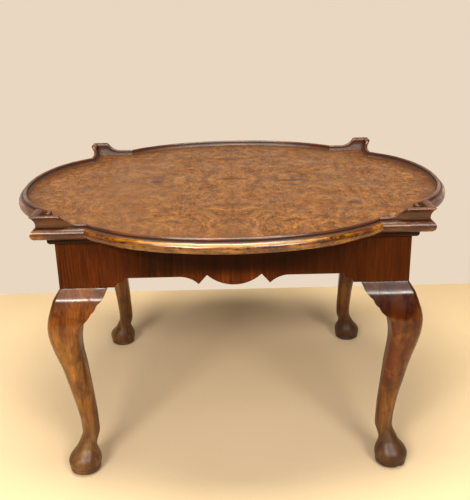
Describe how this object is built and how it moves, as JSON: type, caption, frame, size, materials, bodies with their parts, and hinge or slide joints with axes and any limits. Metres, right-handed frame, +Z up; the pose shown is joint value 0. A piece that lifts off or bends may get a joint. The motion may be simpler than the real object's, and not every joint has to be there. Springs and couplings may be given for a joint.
{
  "type": "tray top tea table",
  "caption": "Low tea table with a bowed tray top, a low rim between tall moulded mitred corners, on an ornamented frame with cabriole legs and round club feet.",
  "frame": {"origin": "on the floor, under the middle of the tray", "axes": "+X to the right along the long side, +Y to the back, +Z up; the side with -Y is the front"},
  "size_m": [0.806, 0.7508, 0.4955],
  "materials": {
    "burr_veneer": "burr walnut veneer under a polished varnish",
    "rim_moulding": "solid walnut moulding, dark polished varnish with amber lights",
    "bed_moulding": "solid walnut moulding, dark polished varnish",
    "frame_facing": "cross-grained walnut veneer, polished",
    "leg_walnut": "carved solid walnut, glossy varnish",
    "core_boards": "plain softwood, unvarnished underneath",
    "frame_wood": "plain secondary wood, unvarnished",
    "screws": "old dull steel"
  },
  "bodies": {
    "root": {"bed_moulding_back": "bed_moulding", "bed_moulding_front": "bed_moulding", "bed_moulding_left": "bed_moulding", "bed_moulding_right": "bed_moulding", "corner_block_back_left": "frame_wood", "corner_block_back_right": "frame_wood", "corner_block_front_left": "frame_wood", "corner_block_front_right": "frame_wood", "corner_rail_back_left_rear": "rim_moulding", "corner_rail_back_left_side": "rim_moulding", "corner_rail_back_right_rear": "rim_moulding", "corner_rail_back_right_side": "rim_moulding", "corner_rail_front_left_face": "rim_moulding", "corner_rail_front_left_side": "rim_moulding", "corner_rail_front_right_face": "rim_moulding", "corner_rail_front_right_side": "rim_moulding", "facing_back": "frame_facing", "facing_front": "frame_facing", "facing_left": "frame_facing", "facing_right": "frame_facing", "glue_blocks": "frame_wood", "knee_bracket_back_left_rear": "leg_walnut", "knee_bracket_back_left_side": "leg_walnut", "knee_bracket_back_right_rear": "leg_walnut", "knee_bracket_back_right_side": "leg_walnut", "knee_bracket_front_left_face": "leg_walnut", "knee_bracket_front_left_side": "leg_walnut", "knee_bracket_front_right_face": "leg_walnut", "knee_bracket_front_right_side": "leg_walnut", "leg_back_left": "leg_walnut", "leg_back_right": "leg_walnut", "leg_front_left": "leg_walnut", "leg_front_right": "leg_walnut", "rail_back": "frame_wood", "rail_front": "frame_wood", "rail_left": "frame_wood", "rail_right": "frame_wood", "rim_bow_back": "rim_moulding", "rim_bow_front": "rim_moulding", "rim_bow_left": "rim_moulding", "rim_bow_right": "rim_moulding", "top_board_back": "core_boards", "top_board_back_middle": "core_boards", "top_board_front": "core_boards", "top_board_front_middle": "core_boards", "top_screws": "screws", "veneer_back_left": "burr_veneer", "veneer_back_right": "burr_veneer", "veneer_front_left": "burr_veneer", "veneer_front_right": "burr_veneer"}
  },
  "joints": []
}
